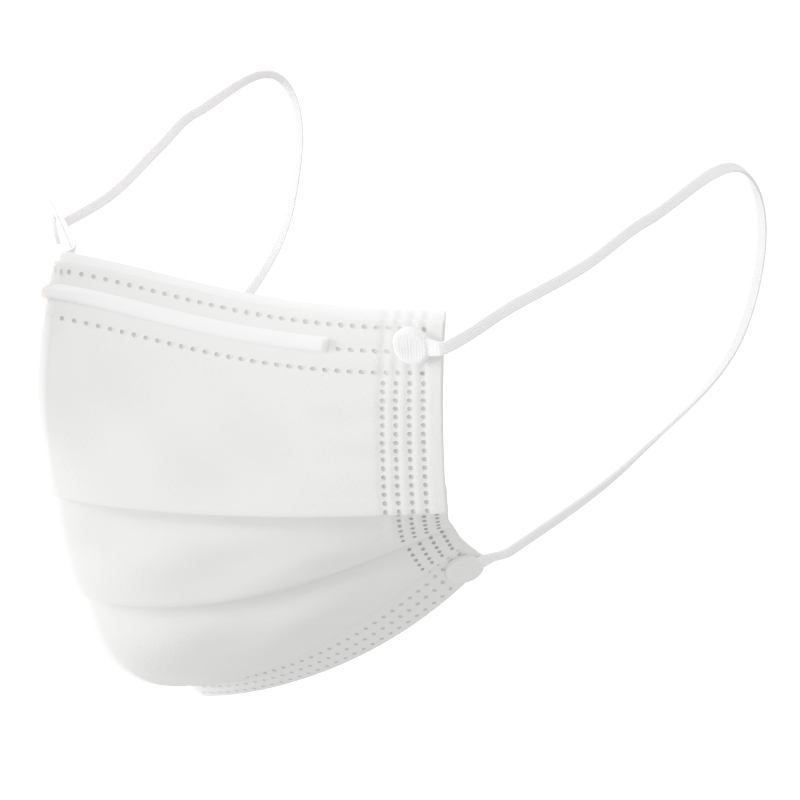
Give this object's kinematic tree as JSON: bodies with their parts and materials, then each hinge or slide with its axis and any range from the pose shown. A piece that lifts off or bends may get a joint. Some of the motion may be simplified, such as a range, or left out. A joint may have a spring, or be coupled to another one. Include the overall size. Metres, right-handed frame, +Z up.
{
  "type": "surgical face mask",
  "caption": "Pleated surgical face mask in its worn form, with a nose wire, round weld pads and flat elastic ear loops.",
  "frame": {"origin": "the seat on the bridge of the nose: just behind the inner ply in the centre crease, 6 mm below the outer ply's top edge", "axes": "+Z is up, -Y is the way the wearer faces, +X is the wearer's left"},
  "size_m": [0.1648, 0.1308, 0.1248],
  "materials": {
    "outer_nonwoven": "matte",
    "inner_nonwoven": "matte",
    "wire_band": "satin",
    "weld_pads": "matte",
    "elastic": "matte"
  },
  "bodies": {
    "root": {"outer_layer": "outer_nonwoven", "inner_layer": "inner_nonwoven", "nose_wire": "wire_band", "weld_pad_upper_left": "weld_pads", "weld_pad_upper_right": "weld_pads", "weld_pad_lower_left": "weld_pads", "weld_pad_lower_right": "weld_pads", "ear_loop_left": "elastic", "ear_loop_right": "elastic"}
  },
  "joints": []
}
